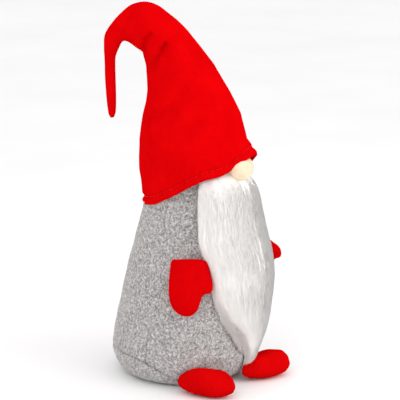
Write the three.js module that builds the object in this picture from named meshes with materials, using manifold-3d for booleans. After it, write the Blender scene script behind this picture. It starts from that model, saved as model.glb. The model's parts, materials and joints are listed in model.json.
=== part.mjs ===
// Stuffed felt gnome with a long velvet hat, a fur beard, a ball nose, mittens and feet.
// Millimetres, +Z up. The figure faces -Y and its right hand is on -X. The origin is on the floor,
// under the middle of the flat rest face of the base.
import * as THREE from 'three';
import { mergeVertices } from 'three/addons/utils/BufferGeometryUtils.js';
import Module from 'manifold-3d';

const wasm = await Module();
wasm.setup();

// ---------------------------------------------------------------- driving dimensions
const felt = 3; // body felt, glued to its lining
const velvet = 2; // hat velvet with its backing
const cloth = 1.2; // red cloth of the mittens and feet
const gap = 0.4; // between touching pieces
const loose = 2; // round wadding, which fills its cover softly

const belly = { radius: 99.5, height: 42, flatRadius: 68 }; // widest girth, and the flat rest face
const neck = { radius: 64, height: 228 }; // where the hat takes over
const head = { shoulder: 285, radius: 53, top: 322 }; // felt top, hidden in the hat
const sideBulge = 3.5; // how far the side stands out of a straight cone
const lean = 0.053; // forward shift of each body section, per millimetre of height
const baseSeam = { front: 18, back: 40 }; // height of the seam round the base panel
const pelletDepth = 52; // height of the bag of pellets in the base
const bodySegments = 32;

const hem = { height: 261, rise: 31, ease: 3.9, band: 13, proud: 1.6 }; // lower edge of the hat
const hat = { puff: 7.5, bulgeAt: 38, bendAt: 168, bendRadius: 37, lean: 24, fullness: 4.5 };
const droopHeading = 148; // degrees from -Y towards -X: the side to which the hat falls
const crown = { reach: 73, rise: 47, radius: 40.5, endRadius: 14, rimTilt: 42, rimReach: 20 };
const tail = { length: 112, radius: 5.8, rootRadius: 9.5, tipRadius: 4.6 };
const hatSegments = 24;

const nose = { radius: 19.5, height: 291, wall: 1.2, mouth: 7 };
const beard = { top: 284, tip: 38, fur: 33, backing: 2, slack: 1.8, hinge: 206, lift: 40 };
// Half the angle that the beard spans, in degrees either side of the front, at five heights.
const beardSides = [[38, 4], [72, 14], [105, 31], [160, 39], [200, 52]];

const mitten = { width: 56, length: 72, puff: 7.5, cuffWidth: 41 };
const mittens = {
  right: { side: -1, heading: 58, height: 177, yaw: 0, standOff: 9.5 },
  left: { side: 1, heading: 52, height: 182, yaw: 52, standOff: 26 }, // pushed out by the beard
};
const foot = { length: 76, width: 38, upper: 17, sole: 14 };
const heelThread = 10; // the heel's tip stands off the felt by the slack of its thread
// Each heel sits on the base seam at a heading, and its toe points along another heading.
const feet = {
  right: { heelAt: 61, toe: -13 },
  left: { heelAt: 6, toe: -70 },
};

// ---------------------------------------------------------------- small helpers
const rad = THREE.MathUtils.degToRad;
const lerp = THREE.MathUtils.lerp;
const smooth = THREE.MathUtils.smoothstep;
const finish = {
  felt: { color: 0xaca8a5, roughness: 0.95 },
  velvet: { color: 0xd8060c, roughness: 0.8 },
  fur: { color: 0xf0ede8, roughness: 0.9 },
  skin: { color: 0xf3e6cb, roughness: 0.85 },
  redCloth: { color: 0xd20408, roughness: 0.9 },
  wadding: { color: 0xe9e9e6, roughness: 1 },
  pellets: { color: 0xd6d2c4, roughness: 0.9 },
};

const figure = new THREE.Group();

function addMesh(name, geometry, look, parent = figure) {
  const material = new THREE.MeshStandardMaterial({ ...finish[look], metalness: 0 });
  const mesh = new THREE.Mesh(geometry, material);
  mesh.name = name;
  parent.add(mesh);
  return mesh;
}

// Skins a list of closed rings of equal length. The ends are closed by a fan of triangles round
// their middle, or by a strip across a C-shaped ring, or the last ring is joined to the first.
function loft(rings, ends = 'fan') {
  const columns = rings[0].length;
  const points = rings.flat();
  const faces = [];
  const bands = ends === 'joined' ? rings.length : rings.length - 1;
  for (let i = 0; i < bands; i++) {
    const next = (i + 1) % rings.length;
    for (let j = 0; j < columns; j++) {
      const k = (j + 1) % columns;
      const [a, b] = [i * columns + j, i * columns + k];
      const [d, c] = [next * columns + j, next * columns + k];
      faces.push(a, b, d, b, c, d);
    }
  }
  const last = (rings.length - 1) * columns;
  if (ends === 'fan') {
    for (const [start, turn] of [[0, false], [last, true]]) {
      const middle = new THREE.Vector3();
      points.slice(start, start + columns).forEach((p) => middle.add(p));
      points.push(middle.divideScalar(columns));
      for (let j = 0; j < columns; j++) {
        const pair = [start + j, start + (j + 1) % columns];
        faces.push(points.length - 1, ...(turn ? pair : pair.reverse()));
      }
    }
  }
  if (ends === 'strip') {
    for (const [start, turn] of [[0, false], [last, true]]) {
      for (let j = 0; j < columns / 2 - 1; j++) {
        const [a, b] = [start + j, start + j + 1];
        const [c, d] = [start + columns - 2 - j, start + columns - 1 - j];
        faces.push(...(turn ? [a, b, c, a, c, d] : [a, c, b, a, d, c]));
      }
    }
  }
  return facingOut(points, faces);
}

// Turns every face round when the closed surface holds a negative volume.
function facingOut(points, faces) {
  let volume = 0;
  for (let i = 0; i < faces.length; i += 3) {
    const [a, b, c] = [points[faces[i]], points[faces[i + 1]], points[faces[i + 2]]];
    volume += a.dot(b.clone().cross(c));
  }
  if (volume < 0) faces.reverse();
  const geometry = new THREE.BufferGeometry().setFromPoints(points);
  geometry.setIndex(faces);
  return geometry;
}

function toSolid(geometry) {
  const bare = geometry.index ? geometry.toNonIndexed() : geometry.clone();
  bare.deleteAttribute('normal');
  bare.deleteAttribute('uv');
  const merged = mergeVertices(bare, 1e-3);
  const vertProperties = merged.attributes.position.array;
  const triVerts = new Uint32Array(merged.index.array);
  return new wasm.Manifold(new wasm.Mesh({ numProp: 3, vertProperties, triVerts }));
}

function fromSolid(solid) {
  const { vertProperties, triVerts } = solid.getMesh();
  const geometry = new THREE.BufferGeometry();
  geometry.setAttribute('position', new THREE.BufferAttribute(vertProperties, 3));
  geometry.setIndex(new THREE.BufferAttribute(triVerts, 1));
  return geometry;
}

function cut(geometry, ...tools) {
  return fromSolid(tools.reduce((left, tool) => left.subtract(toSolid(tool)), toSolid(geometry)));
}

function joined(solids) {
  return fromSolid(wasm.Manifold.union(solids.map(toSolid)));
}

// Ball whose flat faces all lie outside a radius, to cut a socket that another ball turns in.
function ball(centre, radius) {
  const [around, down] = [24, 14];
  const reach = radius / Math.cos(Math.PI / around) / Math.cos(Math.PI / down / 2);
  return new THREE.SphereGeometry(reach, around, down).translate(centre.x, centre.y, centre.z);
}

// All the space on one side of a plane: the side to which a direction points from a point in it.
function halfSpace(point, direction) {
  const size = 500;
  const turn = new THREE.Quaternion().setFromUnitVectors(new THREE.Vector3(0, 0, 1), direction);
  return new THREE.BoxGeometry(size, size, size)
    .translate(0, 0, size / 2)
    .applyQuaternion(turn)
    .translate(point.x, point.y, point.z);
}

// ---------------------------------------------------------------- the felt body
// The body's outline as [radius, height], from the middle of the rest face to the top of the head.
function bodyOutline() {
  const points = [[0, 0]];
  const roundSteps = 7;
  for (let i = 0; i <= roundSteps; i++) {
    const a = (i / roundSteps) * Math.PI / 2;
    const r = belly.flatRadius + (belly.radius - belly.flatRadius) * Math.sin(a);
    points.push([r, belly.height * (1 - Math.cos(a))]);
  }
  const sideSteps = 7;
  for (let i = 1; i <= sideSteps; i++) {
    const t = i / sideSteps;
    const bulge = sideBulge * Math.sin(Math.PI * t);
    points.push([lerp(belly.radius, neck.radius, t) + bulge, lerp(belly.height, neck.height, t)]);
  }
  points.push([head.radius, head.shoulder]);
  const domeSteps = 4;
  for (let i = 1; i <= domeSteps; i++) {
    const a = (i / domeSteps) * Math.PI / 2;
    points.push([head.radius * Math.cos(a), lerp(head.shoulder, head.top, Math.sin(a))]);
  }
  return points;
}

// The outline moved inwards by a depth, along its normals.
function insetOutline(depth) {
  const outline = bodyOutline();
  return outline.map(([r, z], i) => {
    const before = outline[Math.max(i - 1, 0)];
    const after = outline[Math.min(i + 1, outline.length - 1)];
    const dr = after[0] - before[0];
    const dz = after[1] - before[1];
    const size = Math.hypot(dr, dz);
    if (i === 0) return [0, z + depth];
    if (i === outline.length - 1) return [0, z - depth];
    return [Math.max(r - depth * dz / size, 0), z + depth * dr / size];
  });
}

// Radius of an outline at a height.
function outlineRadiusAt(outline, height) {
  const i = outline.findIndex(([, z], k) => k > 1 && z >= height);
  if (i < 0) return outline[outline.length - 1][0];
  const [r0, z0] = outline[i - 1];
  const [r1, z1] = outline[i];
  if (z1 === z0) return r1;
  return lerp(r0, r1, THREE.MathUtils.clamp((height - z0) / (z1 - z0), 0, 1));
}

const bodyRadius = (height) => outlineRadiusAt(bodyOutline(), height);

const bodyCentreY = (height) => -lean * height;

// Heading is in degrees from the front (-Y) towards the figure's right (-X).
function bodyPoint(heading, height, radius) {
  const a = rad(heading);
  const x = -radius * Math.sin(a);
  const y = bodyCentreY(height) - radius * Math.cos(a);
  return new THREE.Vector3(x, y, height);
}

const poleRadius = 0.6; // the smallest ring, which a flat cap closes

function fullRing(radius, height, segments = bodySegments) {
  const ring = [];
  for (let i = 0; i < segments; i++) {
    ring.push(bodyPoint(-360 * i / segments, height, Math.max(radius, poleRadius)));
  }
  return ring;
}

// Height of the base seam at a heading.
function seamHeight(heading) {
  return lerp(baseSeam.front, baseSeam.back, (1 - Math.cos(rad(heading))) / 2);
}

// Cup of felt under the body: a wall whose upper edge follows the tilted base seam.
function basePanel() {
  const outside = insetOutline(0);
  const inside = insetOutline(felt);
  const steps = [0, 0.12, 0.35, 0.65, 1];
  const ringAt = (outline, floor, share) => fullRing(1, 0).map((_, i) => {
    const heading = -360 * i / bodySegments;
    const height = lerp(floor, seamHeight(heading), share);
    return bodyPoint(heading, height, outlineRadiusAt(outline, Math.max(height, floor + 0.01)));
  });
  const rings = [
    fullRing(poleRadius, felt),
    ...steps.map((s) => ringAt(inside, felt, s)),
    ...steps.slice().reverse().map((s) => ringAt(outside, 0, s)),
    fullRing(poleRadius, 0),
  ];
  addMesh('base_panel', loft(rings), 'felt');
}

// Half of the felt sack, from the base seam to the crown of the head, between the two side seams.
function bodyPanel(name, firstHeading, lastHeading) {
  const outside = insetOutline(0);
  const inside = insetOutline(felt);
  const top = head.top;
  const shares = [0, 0.04, 0.1, 0.2, 0.32, 0.44, 0.56, 0.68, 0.78, 0.87, 0.93, 0.975];
  const arcSteps = bodySegments / 2;
  const edge = gap / 2 / belly.radius * 180 / Math.PI;
  const rings = shares.map((share) => {
    const wall = (outline, drop) => {
      const arc = [];
      for (let i = 0; i <= arcSteps; i++) {
        const heading = lerp(firstHeading + edge, lastHeading - edge, i / arcSteps);
        const height = lerp(seamHeight(heading) + gap, top - drop - poleRadius, share);
        arc.push(bodyPoint(heading, height, outlineRadiusAt(outline, height)));
      }
      return arc;
    };
    return [...wall(outside, 0), ...wall(inside, felt).reverse()];
  });
  addMesh(name, loft(rings, 'strip'), 'felt');
}

// Solid of wadding or pellets between two heights of the sack.
function bodyFilling(name, from, to, look) {
  const inside = insetOutline(felt + loose);
  const steps = 6;
  const rings = [];
  for (let i = 0; i <= steps; i++) {
    const height = lerp(from, to, i / steps);
    rings.push(fullRing(outlineRadiusAt(inside, height), height, bodySegments / 2));
  }
  addMesh(name, loft(rings), look);
}

// ---------------------------------------------------------------- the hat
const hemCentre = new THREE.Vector3(0, bodyCentreY(hem.height), hem.height);
const droop = new THREE.Vector3(-Math.sin(rad(droopHeading)), -Math.cos(rad(droopHeading)), 0);
const hemRadius = bodyRadius(hem.height - hem.rise) + hem.ease;

// A point of the hat's middle line: so far along the fall of the hat, so far above the hem.
function hatPoint(out, up) {
  return hemCentre.clone().addScaledVector(droop, out).add(new THREE.Vector3(0, 0, up));
}

const bend = { out: hat.lean, up: hat.bendAt };
const bendCentre = hatPoint(bend.out, bend.up);
const tailRoot = { out: bend.out + crown.reach, up: bend.up + 0.74 * crown.rise };
const tailCentre = hatPoint(tailRoot.out, tailRoot.up);

// Ring round a middle point, level at the front and back by its slope, or square to a direction.
function hatRing(centre, along, slope, radius) {
  const across = new THREE.Vector3(1, 0, 0).addScaledVector(along, -along.x).normalize();
  const second = along.clone().cross(across).normalize();
  second.z -= slope;
  const ring = [];
  for (let i = 0; i < hatSegments; i++) {
    const a = 2 * Math.PI * i / hatSegments;
    ring.push(centre.clone()
      .addScaledVector(across, radius * Math.cos(a))
      .addScaledVector(second, radius * Math.sin(a)));
  }
  return ring;
}

// Middle line of the standing part of the hat, from the hem to the bend, and its radius.
const standingLine = new THREE.CatmullRomCurve3([
  hatPoint(0, 0),
  hatPoint(-3, 0.22 * hat.bendAt),
  hatPoint(0.02 * hat.lean, 0.5 * hat.bendAt),
  hatPoint(0.35 * hat.lean, 0.78 * hat.bendAt),
  bendCentre,
]);

function standingRadius(up) {
  const bulgeRadius = hemRadius + hat.puff;
  if (up < hat.bulgeAt) {
    return lerp(hemRadius, bulgeRadius, Math.sin((up / hat.bulgeAt) * Math.PI / 2));
  }
  const t = (up - hat.bulgeAt) / (hat.bendAt - hat.bulgeAt);
  return lerp(bulgeRadius, hat.bendRadius, t) + hat.fullness * Math.sin(Math.PI * t);
}

// How much higher the hem runs over the nose, at a distance to either side of it.
function noseArch(x) {
  const rise = nose.height + nose.radius + 2 * loose - hem.height - hem.rise;
  return rise * Math.exp(-((x / (1.4 * nose.radius)) ** 2));
}

function standingRing(t, inset) {
  const centre = standingLine.getPoint(t);
  const up = centre.z - hem.height;
  const along = standingLine.getTangent(t).lerp(new THREE.Vector3(0, 0, 1), 1 - t).normalize();
  const slope = (hem.rise / hemRadius) * (1 - smooth(up, 0, 0.55 * hat.bendAt));
  const ring = hatRing(centre, along, slope, standingRadius(up) - inset);
  const fade = 1 - smooth(up, 0, 0.45 * hat.bendAt);
  for (const point of ring) {
    if (point.y < centre.y) point.z += fade * noseArch(point.x);
  }
  return ring;
}

// Tube of velvet open at both ends: up the inside and down the outside, closed on itself.
function tubeWall(rings, innerRings) {
  return loft([...innerRings.slice().reverse(), ...rings], 'joined');
}

const bandShare = hem.band / hat.bendAt;
const standingSteps = [0, bandShare / 2, bandShare, 0.17, 0.3, 0.45, 0.6, 0.75, 0.88, 1];

// Rings that close a round tube by half a ball.
function domeRings(centre, along, radius) {
  return [28, 56, 85].map((angle) => {
    const middle = centre.clone().addScaledVector(along, radius * Math.sin(rad(angle)));
    return hatRing(middle, along, 0, radius * Math.cos(rad(angle)));
  });
}

// The standing cloth ends in a ball, under the rim of the fallen crown.
function standingHat() {
  const steps = standingSteps;
  const along = standingLine.getTangent(1);
  const wall = (inset) => [
    ...steps.map((t) => standingRing(t, inset)),
    ...domeRings(bendCentre, along, hat.bendRadius - inset),
  ];
  addMesh('hat_lower_cloth', loft([...wall(velvet).reverse(), ...wall(0)]), 'velvet');

  const band = steps.slice(0, 3);
  const bandOut = band.map((t, i) => standingRing(t, -gap - hem.proud * (i === 1 ? 1 : 0.7)));
  const bandIn = band.map((t) => standingRing(t, -gap));
  addMesh('hat_hem_band', tubeWall(bandOut, bandIn), 'velvet');
}

// Wadding between the felt head and the hat.
function standingFill() {
  const inset = velvet + loose;
  const rings = [
    ...standingSteps.slice(3).map((t) => standingRing(t, inset)),
    ...domeRings(bendCentre, standingLine.getTangent(1), hat.bendRadius - inset),
  ];
  const headRoom = insetOutline(-loose).filter(([, z]) => z > neck.height - 60);
  const hollow = [fullRing(0, headRoom[0][1] - 1, 20)];
  for (const [r, z] of headRoom) {
    hollow.push(fullRing(r, z, 20));
  }
  addMesh('hat_lower_fill', cut(loft(rings), loft(hollow)), 'wadding');
}

// Middle line of the fallen crown, from the bend to the root of the tail.
const crownLine = new THREE.CatmullRomCurve3([
  bendCentre,
  hatPoint(bend.out + 0.25 * crown.reach, bend.up + 0.62 * crown.rise),
  hatPoint(bend.out + 0.5 * crown.reach, bend.up + 0.95 * crown.rise),
  hatPoint(bend.out + 0.74 * crown.reach, bend.up + crown.rise),
  tailCentre,
]);

const crownRadius = (t) => lerp(crown.radius, crown.endRadius, t);

function crownRing(t, inset) {
  return hatRing(crownLine.getPoint(t), crownLine.getTangent(t), 0, crownRadius(t) - inset);
}

// The crown as a chain of short frustums, so that its tight inner side stays clean.
function crownChain(inset) {
  const steps = 7;
  const rings = [];
  for (let i = 0; i <= steps; i++) rings.push(crownRing(i / steps, inset));
  rings.push(...domeRings(tailCentre, crownLine.getTangent(1), crown.endRadius - inset));
  return joined(rings.slice(1).map((ring, i) => loft([rings[i], ring])));
}

function fallenCrown() {
  const tilt = rad(crown.rimTilt);
  const rimUp = new THREE.Vector3(0, 0, Math.cos(tilt)).addScaledVector(droop, Math.sin(tilt));
  const rimMiddle = bendCentre.clone().addScaledVector(rimUp, crown.rimReach);
  const below = halfSpace(rimMiddle, rimUp.clone().negate());
  const socket = ball(bendCentre, hat.bendRadius + gap);
  addMesh('hat_crown_cloth', cut(crownChain(0), crownChain(velvet), below, socket), 'velvet');
  addMesh('hat_crown_fill', cut(crownChain(velvet + loose), below, socket), 'wadding');
}

// The empty point of the hat, rolled on itself, which hangs from the crown.
function hangingTail() {
  const end = crownLine.getTangent(1);
  const root = tailCentre.clone().addScaledVector(end, crown.endRadius * 0.7);
  const line = new THREE.CatmullRomCurve3([
    root,
    hatPoint(tailRoot.out + 10, tailRoot.up - 0.22 * tail.length),
    hatPoint(tailRoot.out + 10, tailRoot.up - 0.55 * tail.length),
    hatPoint(tailRoot.out + 8, tailRoot.up - 0.97 * tail.length),
  ]);
  const steps = 9;
  const rings = [];
  for (let i = 0; i <= steps; i++) {
    const t = i / steps;
    const radius = t < 0.3 ? lerp(tail.rootRadius, tail.radius, smooth(t, 0, 0.3))
      : lerp(tail.radius, tail.tipRadius, (t - 0.3) / 0.7);
    rings.push(tailRing(line, t, radius));
  }
  const tip = line.getPoint(1).addScaledVector(line.getTangent(1), 0.6 * tail.tipRadius);
  rings.push(tailRing(line, 1, 0.5 * tail.tipRadius, tip));
  addMesh('hat_tail', cut(loft(rings), ball(tailCentre, crown.endRadius + gap)), 'velvet');
}

function tailRing(line, t, radius, centre = line.getPoint(t)) {
  return hatRing(centre, line.getTangent(t), 0, radius).filter((_, i) => i % 2 === 0);
}

// ---------------------------------------------------------------- the beard and the nose
// Half the angle that the beard spans at a height: widest near the top, and down to a point.
function beardSpan(height) {
  const i = beardSides.findIndex(([z]) => z >= height);
  if (i < 0) return beardSides[beardSides.length - 1][1];
  const [z0, angle0] = beardSides[Math.max(i - 1, 0)];
  const [z1, angle1] = beardSides[i];
  return z1 === z0 ? angle1 : lerp(angle0, angle1, (height - z0) / (z1 - z0));
}

// How far the fur stands out, from its root to its edge across, and from its top to its tip.
function furDepth(share, height) {
  const t = (beard.top - height) / (beard.top - beard.tip);
  const across = Math.pow(Math.max(1 - share * share, 0), 0.55);
  const along = lerp(1, 0.5, smooth(t, 0.55, 1));
  return beard.backing + 4 + (beard.fur - beard.backing - 4) * across * along;
}

// Curved slab on the front of the body, between two depths, as a stack of C-shaped rings.
function beardSlab(from, depthAt) {
  const steps = 8;
  const arcSteps = 10;
  const rings = [];
  for (let i = 0; i <= steps; i++) {
    const height = lerp(beard.tip, beard.top, i / steps);
    const wall = (depth) => {
      const arc = [];
      for (let j = 0; j <= arcSteps; j++) {
        const share = 2 * j / arcSteps - 1;
        const radius = bodyRadius(height) + beard.slack + depth(share, height);
        arc.push(bodyPoint(share * beardSpan(height), height, radius));
      }
      return arc;
    };
    rings.push([...wall(depthAt), ...wall(() => from).reverse()]);
  }
  return loft(rings, 'strip');
}

// All the space above or below a plane that falls towards the front from the beard's hinge line.
function wedgeCut(slope, side, drop = 0) {
  const y = bodyCentreY(beard.hinge) - bodyRadius(beard.hinge) - beard.slack;
  const direction = new THREE.Vector3(0, -Math.sin(rad(slope)), Math.cos(rad(slope)));
  return halfSpace(new THREE.Vector3(0, y, beard.hinge - drop), direction.multiplyScalar(side));
}

function beardPieces() {
  const backing = beardSlab(0, () => beard.backing);
  const fur = beardSlab(beard.backing + 3 * gap, furDepth);
  const rootSlope = 6; // under edge of the fixed roots, falling towards the front
  const flapSlope = rootSlope + beard.lift + 2; // top edge of the free fall of the beard
  const rootsOnly = wedgeCut(rootSlope, -1);
  const flapOnly = [wedgeCut(flapSlope, 1), wedgeCut(rootSlope, 1, 1 + beard.slack)];
  const underBrim = brimRoom();
  const noseRoom = ball(nosePlace, nose.radius + 2 * gap);
  addMesh('beard_root_backing', cut(backing, rootsOnly, underBrim, noseRoom), 'felt');
  addMesh('beard_root_fur', cut(fur, rootsOnly, underBrim, noseRoom), 'fur');
  addMesh('beard_backing', cut(backing, ...flapOnly), 'felt');
  addMesh('beard_fur', cut(fur, ...flapOnly), 'fur');
}

// Everything inside the hat's hem band, which the beard stays out of.
function brimRoom() {
  const steps = [0, 0.04, 0.08, 0.16, 0.24, 0.36, 0.48];
  const rings = steps.map((t) => standingRing(t, -3 * gap - hem.proud));
  const low = rings[0].map((p) => p.clone().setZ(p.z - gap));
  return loft([low, ...rings]);
}

const nosePlace = new THREE.Vector3(
  0,
  bodyCentreY(nose.height) - bodyRadius(nose.height) - nose.radius - gap,
  nose.height,
);

// Ball of stretched cloth with a gathered mouth at the back, and the wadding in it.
function ballNose() {
  const steps = 6;
  const mouth = Math.asin(nose.mouth / nose.radius);
  const profile = [];
  for (let i = 0; i <= steps; i++) {
    const a = lerp(mouth, Math.PI, i / steps);
    profile.push(new THREE.Vector2(nose.radius * Math.sin(a), nose.radius * Math.cos(a)));
  }
  profile[steps].x = 0;
  const inner = nose.radius - nose.wall;
  for (let i = steps; i >= 0; i--) {
    const a = lerp(mouth, Math.PI, i / steps);
    profile.push(new THREE.Vector2(inner * Math.sin(a) * (i === steps ? 0 : 1), inner * Math.cos(a)));
  }
  profile.push(profile[0].clone());
  const skin = new THREE.LatheGeometry(profile.reverse(), 18);
  const place = (geometry) => geometry.rotateX(Math.PI)
    .translate(nosePlace.x, nosePlace.y, nosePlace.z);
  addMesh('nose_skin', place(skin), 'skin');
  const wadding = new THREE.SphereGeometry(inner - loose, 12, 8);
  addMesh('nose_fill', place(wadding), 'wadding');
}

// ---------------------------------------------------------------- mittens and feet
// Half of a sewn pillow: one cloth side, domed out of the seam plane and hollow behind.
function pillowHalf(outline, height, side) {
  const centre = outline.reduce((sum, p) => sum.add(p), new THREE.Vector2()).divideScalar(outline.length);
  const ring = (scale, level) => outline.map((p) => {
    const q = p.clone().sub(centre).multiplyScalar(scale).add(centre);
    return new THREE.Vector3(q.x, q.y, side * (gap / 2 + level));
  });
  const dome = (scale, top) => top * Math.pow(1 - scale * scale, 0.7);
  const reach = Math.max(...outline.map((p) => p.distanceTo(centre)));
  const inside = 1 - cloth / reach;
  const steps = [0.03, 0.6, 0.9, 1];
  const rings = [
    ...steps.map((k) => ring(k * inside, dome(k, height - cloth))),
    ...steps.slice().reverse().map((k) => ring(k, dome(k, height))),
  ];
  return loft(rings);
}

function pillowFill(outline, up, down) {
  const centre = outline.reduce((sum, p) => sum.add(p), new THREE.Vector2()).divideScalar(outline.length);
  const reach = Math.max(...outline.map((p) => p.distanceTo(centre)));
  const inside = 1 - (cloth + 2 * gap) / reach;
  const ring = (scale, level) => outline.map((p) => {
    const q = p.clone().sub(centre).multiplyScalar(scale * inside).add(centre);
    return new THREE.Vector3(q.x, q.y, level);
  });
  const dome = (scale, top) => (top - cloth - gap) * Math.pow(1 - scale * scale, 0.7);
  const steps = [0.03, 0.6, 0.92];
  const rings = [
    ...steps.map((k) => ring(k, -dome(k, down))),
    ...steps.slice().reverse().map((k) => ring(k, dome(k, up))),
  ];
  return loft(rings);
}

// Outline of a mitten hanging from its cuff at the origin, fingers down, thumb towards +X.
function mittenOutline() {
  const w = mitten.width / 2;
  const l = mitten.length;
  const c = mitten.cuffWidth / 2;
  const shape = new THREE.Shape();
  shape.moveTo(-c, 0);
  shape.bezierCurveTo(-0.98 * w, -0.12 * l, -w, -0.35 * l, -0.97 * w, -0.62 * l);
  shape.bezierCurveTo(-0.93 * w, -0.98 * l, -0.5 * w, -l, -0.1 * w, -l);
  shape.bezierCurveTo(0.25 * w, -0.97 * l, 0.42 * w, -0.78 * l, 0.5 * w, -0.64 * l);
  shape.bezierCurveTo(0.66 * w, -0.56 * l, 0.98 * w, -0.62 * l, w, -0.42 * l);
  shape.bezierCurveTo(w, -0.28 * l, 0.86 * w, -0.1 * l, c, 0);
  shape.closePath();
  return shape.getSpacedPoints(22).slice(0, -1).reverse();
}

// Almond outline of a foot, toe towards -Y.
function footOutline() {
  const w = foot.width / 2;
  const l = foot.length / 2;
  const shape = new THREE.Shape();
  shape.moveTo(0, l);
  shape.bezierCurveTo(0.75 * w, 0.7 * l, w, 0.3 * l, w, -0.15 * l);
  shape.bezierCurveTo(w, -0.6 * l, 0.6 * w, -l, 0, -l);
  shape.bezierCurveTo(-0.6 * w, -l, -w, -0.6 * l, -w, -0.15 * l);
  shape.bezierCurveTo(-w, 0.3 * l, -0.75 * w, 0.7 * l, 0, l);
  shape.closePath();
  return shape.getSpacedPoints(18).slice(0, -1).reverse();
}

function pillowPieces(group, name, parts, outline, up, down) {
  addMesh(`${name}_${parts[0]}`, pillowHalf(outline, up, 1), 'redCloth', group);
  addMesh(`${name}_${parts[1]}`, pillowHalf(outline, down, -1), 'redCloth', group);
  addMesh(`${name}_fill`, pillowFill(outline, up, down), 'wadding', group);
}

// The cuff's middle on the felt, with the ways across, up the slope and out of it.
function mittenFrame({ side, heading, yaw }) {
  const slope = Math.atan2(belly.radius - neck.radius, neck.height - belly.height);
  const out = bodyPoint(-side * heading, 0, 1).setY(-Math.cos(rad(heading))).setZ(0).normalize();
  out.applyAxisAngle(new THREE.Vector3(0, 0, 1), side * rad(yaw));
  const across = new THREE.Vector3(0, 0, 1).cross(out).normalize();
  const down = new THREE.Vector3(0, 0, -Math.cos(slope)).addScaledVector(out, Math.sin(slope));
  const up = down.clone().negate();
  const normal = across.clone().cross(up).normalize();
  return { across, up, normal };
}

function placeMittens() {
  for (const [name, pose] of Object.entries(mittens)) {
    const { across, up, normal } = mittenFrame(pose);
    const reach = bodyRadius(pose.height) + pose.standOff;
    const anchor = bodyPoint(-pose.side * pose.heading, pose.height, reach);
    const group = new THREE.Group();
    group.matrixAutoUpdate = false;
    group.matrix.makeBasis(across, up, normal).setPosition(anchor);
    figure.add(group);
    const outline = mittenOutline().map((p) => new THREE.Vector2(-pose.side * p.x, p.y));
    if (pose.side > 0) outline.reverse();
    pillowPieces(group, `mitten_${name}`, ['front', 'back'], outline, mitten.puff, mitten.puff);
  }
}

// Tip of the heel, on the felt at the height of the foot's seam.
function heelPoint({ heelAt }) {
  const seamLevel = foot.sole + gap / 2;
  return bodyPoint(heelAt, seamLevel, bodyRadius(seamLevel) + heelThread);
}

function placeFeet() {
  for (const [name, pose] of Object.entries(feet)) {
    const group = new THREE.Group();
    const heel = heelPoint(pose);
    const toe = bodyPoint(pose.toe, 0, 1);
    group.position.copy(heel).addScaledVector(toe, foot.length / 2);
    group.rotation.z = rad(-pose.toe);
    figure.add(group);
    pillowPieces(group, `foot_${name}`, ['upper', 'sole'], footOutline(), foot.upper, foot.sole);
  }
}

// ---------------------------------------------------------------- assembly
basePanel();
bodyPanel('body_front_panel', -90, 90);
bodyPanel('body_back_panel', 90, 270);
bodyFilling('pellet_bag', felt + gap, pelletDepth, 'pellets');
bodyFilling('body_fill', pelletDepth + gap, head.top - felt - loose, 'wadding');
standingHat();
standingFill();
fallenCrown();
hangingTail();
beardPieces();
ballNose();
placeMittens();
placeFeet();

export default figure;
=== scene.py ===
"""Stuffed felt gnome: grey felt body, red velvet hat, fur beard, ball nose, mittens and feet.

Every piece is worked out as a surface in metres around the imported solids. The figure faces -Y.
"""
import json
import math

import bpy
import numpy as np
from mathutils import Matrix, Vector


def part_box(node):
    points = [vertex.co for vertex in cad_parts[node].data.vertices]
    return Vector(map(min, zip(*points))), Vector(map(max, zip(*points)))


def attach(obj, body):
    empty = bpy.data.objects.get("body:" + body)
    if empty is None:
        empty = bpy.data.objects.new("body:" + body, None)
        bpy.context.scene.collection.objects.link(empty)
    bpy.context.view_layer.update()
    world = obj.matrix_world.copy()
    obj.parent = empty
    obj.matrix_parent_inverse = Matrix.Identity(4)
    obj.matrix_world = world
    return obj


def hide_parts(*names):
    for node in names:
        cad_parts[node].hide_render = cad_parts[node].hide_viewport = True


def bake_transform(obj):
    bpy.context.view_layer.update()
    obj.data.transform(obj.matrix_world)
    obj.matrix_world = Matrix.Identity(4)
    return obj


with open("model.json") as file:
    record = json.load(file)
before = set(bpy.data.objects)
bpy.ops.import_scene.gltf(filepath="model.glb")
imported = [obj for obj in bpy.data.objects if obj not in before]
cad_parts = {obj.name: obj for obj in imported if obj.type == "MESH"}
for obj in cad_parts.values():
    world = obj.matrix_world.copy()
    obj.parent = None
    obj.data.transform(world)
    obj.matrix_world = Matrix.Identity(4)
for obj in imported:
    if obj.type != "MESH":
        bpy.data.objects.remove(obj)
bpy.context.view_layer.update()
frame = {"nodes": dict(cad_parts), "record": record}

# ------------------------------------------------------------------ measures, in metres
MM = 0.001
JOINTS = {j["name"]: j for j in frame["record"]["behaviour"]["joints"]}


def joint_point(name):
    """Where a joint turns."""
    return np.array(JOINTS[name]["pos_m"])


def joint_axis(name):
    """The unit axis a joint turns about."""
    axis = np.array(JOINTS[name]["axis"], float)
    return axis / np.linalg.norm(axis)


def node_box(name):
    """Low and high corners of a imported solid."""
    return [np.array(corner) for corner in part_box(name)]


BASE_LOW, BASE_HIGH = node_box("base_panel")
BELLY_RADIUS = (BASE_HIGH[0] - BASE_LOW[0]) / 2 + 1.5 * MM
BELLY_HEIGHT = 42 * MM
FLAT_RADIUS = 68 * MM
NECK_RADIUS = 64 * MM
NECK_HEIGHT = 228 * MM
SHOULDER_HEIGHT = 285 * MM
SHOULDER_RADIUS = 53 * MM
HEAD_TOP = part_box("body_back_panel")[1][2]
FELT_TOP = HEAD_TOP - 8 * MM  # where both felt panels end, on the dome inside the hat
SIDE_BULGE = 3.5 * MM
LEAN = 0.053  # forward shift of each level of the body, per metre of height
SEAM_FRONT = 8 * MM
SEAM_BACK = 39 * MM
FELT = 3 * MM

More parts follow.
